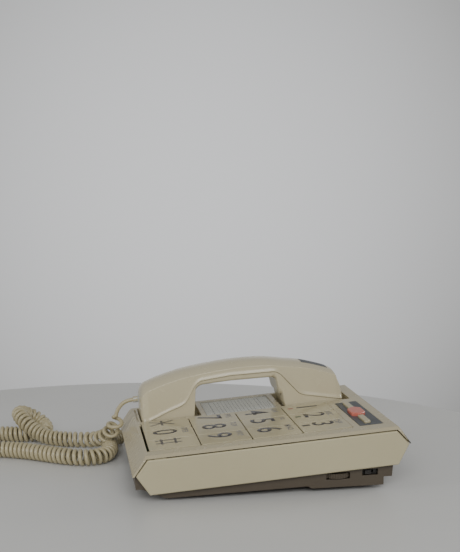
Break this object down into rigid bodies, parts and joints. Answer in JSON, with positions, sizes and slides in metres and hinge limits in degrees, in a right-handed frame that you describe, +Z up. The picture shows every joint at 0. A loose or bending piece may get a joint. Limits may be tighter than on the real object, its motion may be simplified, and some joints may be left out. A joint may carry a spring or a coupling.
{
  "type": "push-button telephone",
  "caption": "Wedge-shaped desk telephone with large push keys, a handset on a side cradle with a plunger hook, thumb-wheel volume and a curly handset cord.",
  "frame": {"origin": "middle of the telephone's box without its cord, on the table under the feet", "axes": "+X to the user's right, +Y to the rear, +Z up. The key deck is tilted 4 degrees about X, higher at the rear."},
  "size_m": [0.2585, 0.4233, 0.0998],
  "materials": {
    "ivory_abs": "semi-gloss moulded",
    "panel_abs": "fine satin texture",
    "key_abs": "glossy moulded",
    "taupe_abs": "satin moulded",
    "slate_abs": "satin moulded",
    "red_abs": "glossy moulded",
    "dark_plastic": "moulded",
    "card": "uncoated paper",
    "clear_plastic": "clear moulded",
    "rubber": "moulded",
    "plated_steel": "zinc plated",
    "circuit_board": "solder mask",
    "cord_pvc": "glossy extruded"
  },
  "bodies": {
    "base": {"base_pan": "taupe_abs", "top_housing": "ivory_abs", "right_side_panel": "panel_abs", "left_side_panel": "panel_abs", "front_left_foot": "rubber", "front_right_foot": "rubber", "rear_left_foot": "rubber", "rear_right_foot": "rubber", "front_left_screw": "plated_steel", "front_right_screw": "plated_steel", "rear_left_screw": "plated_steel", "rear_right_screw": "plated_steel", "key_mat": "rubber", "keypad_board": "circuit_board", "main_board": "circuit_board", "function_plate": "slate_abs", "directory_card": "card", "directory_window": "clear_plastic", "hook_switch": "dark_plastic", "volume_control": "dark_plastic", "ringer_switch_body": "dark_plastic", "ringer": "dark_plastic", "ballast_plate": "plated_steel", "handset_jack": "dark_plastic", "line_jack": "dark_plastic", "base_plug": "clear_plastic", "cord_coil": "cord_pvc", "cord_tail": "cord_pvc"},
    "key_star": {"key_star": "key_abs"},
    "key_0": {"key_0": "key_abs"},
    "key_hash": {"key_hash": "key_abs"},
    "key_7": {"key_7": "key_abs"},
    "key_8": {"key_8": "key_abs"},
    "key_9": {"key_9": "key_abs"},
    "key_4": {"key_4": "key_abs"},
    "key_5": {"key_5": "key_abs"},
    "key_6": {"key_6": "key_abs"},
    "key_1": {"key_1": "key_abs"},
    "key_2": {"key_2": "key_abs"},
    "key_3": {"key_3": "key_abs"},
    "left_function_key": {"left_function_key": "key_abs"},
    "right_function_key": {"right_function_key": "key_abs"},
    "red_key": {"red_key": "red_abs"},
    "hook_plunger": {"hook_plunger": "dark_plastic"},
    "volume_wheel": {"volume_wheel": "taupe_abs"},
    "ringer_switch_slider": {"ringer_switch_slider": "dark_plastic"},
    "handset": {"handset_back": "ivory_abs", "handset_face": "ivory_abs", "handset_label": "slate_abs", "receiver_capsule": "dark_plastic", "microphone_capsule": "dark_plastic", "handset_plug": "clear_plastic", "cord_lead": "cord_pvc"}
  },
  "joints": [
    {"name": "key_star_press", "type": "slide", "parent": "base", "child": "key_star", "axis": [0, 0.0698, -0.9976], "range_m": [0, 0.0025], "stiffness_N_per_m": 400, "springref_m": -0.001},
    {"name": "key_0_press", "type": "slide", "parent": "base", "child": "key_0", "axis": [0, 0.0698, -0.9976], "range_m": [0, 0.0025], "stiffness_N_per_m": 400, "springref_m": -0.001},
    {"name": "key_hash_press", "type": "slide", "parent": "base", "child": "key_hash", "axis": [0, 0.0698, -0.9976], "range_m": [0, 0.0025], "stiffness_N_per_m": 400, "springref_m": -0.001},
    {"name": "key_7_press", "type": "slide", "parent": "base", "child": "key_7", "axis": [0, 0.0698, -0.9976], "range_m": [0, 0.0025], "stiffness_N_per_m": 400, "springref_m": -0.001},
    {"name": "key_8_press", "type": "slide", "parent": "base", "child": "key_8", "axis": [0, 0.0698, -0.9976], "range_m": [0, 0.0025], "stiffness_N_per_m": 400, "springref_m": -0.001},
    {"name": "key_9_press", "type": "slide", "parent": "base", "child": "key_9", "axis": [0, 0.0698, -0.9976], "range_m": [0, 0.0025], "stiffness_N_per_m": 400, "springref_m": -0.001},
    {"name": "key_4_press", "type": "slide", "parent": "base", "child": "key_4", "axis": [0, 0.0698, -0.9976], "range_m": [0, 0.0025], "stiffness_N_per_m": 400, "springref_m": -0.001},
    {"name": "key_5_press", "type": "slide", "parent": "base", "child": "key_5", "axis": [0, 0.0698, -0.9976], "range_m": [0, 0.0025], "stiffness_N_per_m": 400, "springref_m": -0.001},
    {"name": "key_6_press", "type": "slide", "parent": "base", "child": "key_6", "axis": [0, 0.0698, -0.9976], "range_m": [0, 0.0025], "stiffness_N_per_m": 400, "springref_m": -0.001},
    {"name": "key_1_press", "type": "slide", "parent": "base", "child": "key_1", "axis": [0, 0.0698, -0.9976], "range_m": [0, 0.0025], "stiffness_N_per_m": 400, "springref_m": -0.001},
    {"name": "key_2_press", "type": "slide", "parent": "base", "child": "key_2", "axis": [0, 0.0698, -0.9976], "range_m": [0, 0.0025], "stiffness_N_per_m": 400, "springref_m": -0.001},
    {"name": "key_3_press", "type": "slide", "parent": "base", "child": "key_3", "axis": [0, 0.0698, -0.9976], "range_m": [0, 0.0025], "stiffness_N_per_m": 400, "springref_m": -0.001},
    {"name": "left_function_key_press", "type": "slide", "parent": "base", "child": "left_function_key", "axis": [0, 0.0698, -0.9976], "range_m": [0, 0.0014], "stiffness_N_per_m": 400, "springref_m": -0.001},
    {"name": "right_function_key_press", "type": "slide", "parent": "base", "child": "right_function_key", "axis": [0, 0.0698, -0.9976], "range_m": [0, 0.0014], "stiffness_N_per_m": 400, "springref_m": -0.001},
    {"name": "red_key_press", "type": "slide", "parent": "base", "child": "red_key", "axis": [0, 0.0698, -0.9976], "range_m": [0, 0.0014], "stiffness_N_per_m": 400, "springref_m": -0.001},
    {"name": "handset_lift", "type": "slide", "parent": "base", "child": "handset", "axis": [0, -0.0698, 0.9976], "range_m": [0, 0.07]},
    {"name": "hook_plunger_rise", "type": "slide", "parent": "base", "child": "hook_plunger", "axis": [0, -0.0698, 0.9976], "range_m": [0, 0.004]},
    {"name": "volume_wheel_turn", "type": "hinge", "parent": "base", "child": "volume_wheel", "pos_m": [0.0723, 0.0608, 0.015], "axis": [0, 0, 1], "range_deg": [-135, 135]},
    {"name": "ringer_switch_throw", "type": "slide", "parent": "base", "child": "ringer_switch_slider", "axis": [0, 1, 0], "range_m": [0, 0.004]}
  ],
  "couplings": [
    {"joint": "hook_plunger_rise", "follows": "handset_lift", "ratio": 0.0571}
  ]
}
